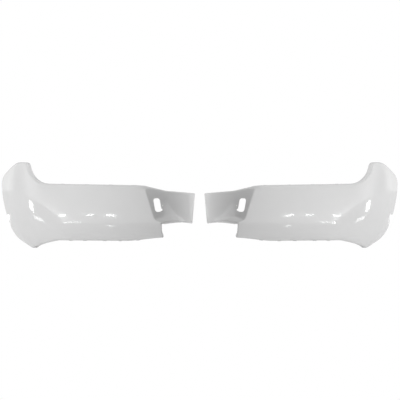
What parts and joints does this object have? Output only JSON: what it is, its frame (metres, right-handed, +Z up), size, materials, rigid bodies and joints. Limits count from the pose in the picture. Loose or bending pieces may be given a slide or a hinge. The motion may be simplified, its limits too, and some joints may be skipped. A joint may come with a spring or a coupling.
{
  "type": "bumper cover",
  "caption": "Pair of glossy white shells that slip over a pickup's rear bumper, with wrap-around corners, plate recess walls, lamp openings, foam tape, edge clips and push retainers.",
  "frame": {"origin": "bottom centre of the pair as fitted: midway across the truck, at the covers' lowest edge, halfway between their rearmost and foremost points", "axes": "+X across the truck to the right seen from behind, +Y forward into the truck (the covers face -Y), +Z up"},
  "size_m": [1.979, 0.3739, 0.4277],
  "materials": {
    "gloss_white_shell": "glossy white paint over moulded ABS",
    "foam_tape": "closed-cell foam tape, dark grey",
    "clip_steel": "spring steel, phosphate and oil",
    "retainer_plastic": "white nylon, fine grain",
    "retainer_pin_plastic": "white nylon, smooth"
  },
  "bodies": {
    "covers": {"left_cover": "gloss_white_shell", "left_upper_tape": "foam_tape", "left_lower_tape": "foam_tape", "left_ear_tape": "foam_tape", "left_end_tape": "foam_tape", "left_recess_tape": "foam_tape", "left_tab_upper_tape": "foam_tape", "left_tab_lower_tape": "foam_tape", "left_upper_edge_clips": "clip_steel", "left_lower_edge_clips": "clip_steel", "left_inner_retainer": "retainer_plastic", "left_outer_retainer": "retainer_plastic", "right_cover": "gloss_white_shell", "right_upper_tape": "foam_tape", "right_lower_tape": "foam_tape", "right_ear_tape": "foam_tape", "right_end_tape": "foam_tape", "right_recess_tape": "foam_tape", "right_tab_upper_tape": "foam_tape", "right_tab_lower_tape": "foam_tape", "right_upper_edge_clips": "clip_steel", "right_lower_edge_clips": "clip_steel", "right_inner_retainer": "retainer_plastic", "right_outer_retainer": "retainer_plastic"},
    "left_inner_pin": {"left_inner_retainer_pin": "retainer_pin_plastic"},
    "left_outer_pin": {"left_outer_retainer_pin": "retainer_pin_plastic"},
    "right_inner_pin": {"right_inner_retainer_pin": "retainer_pin_plastic"},
    "right_outer_pin": {"right_outer_retainer_pin": "retainer_pin_plastic"}
  },
  "joints": [
    {"name": "left_inner_pin_pull", "type": "slide", "parent": "covers", "child": "left_inner_pin", "axis": [0, 0, -1], "range_m": [0, 0.006]},
    {"name": "left_outer_pin_pull", "type": "slide", "parent": "covers", "child": "left_outer_pin", "axis": [0, 0, -1], "range_m": [0, 0.006]},
    {"name": "right_inner_pin_pull", "type": "slide", "parent": "covers", "child": "right_inner_pin", "axis": [0, 0, -1], "range_m": [0, 0.006]},
    {"name": "right_outer_pin_pull", "type": "slide", "parent": "covers", "child": "right_outer_pin", "axis": [0, 0, -1], "range_m": [0, 0.006]}
  ]
}
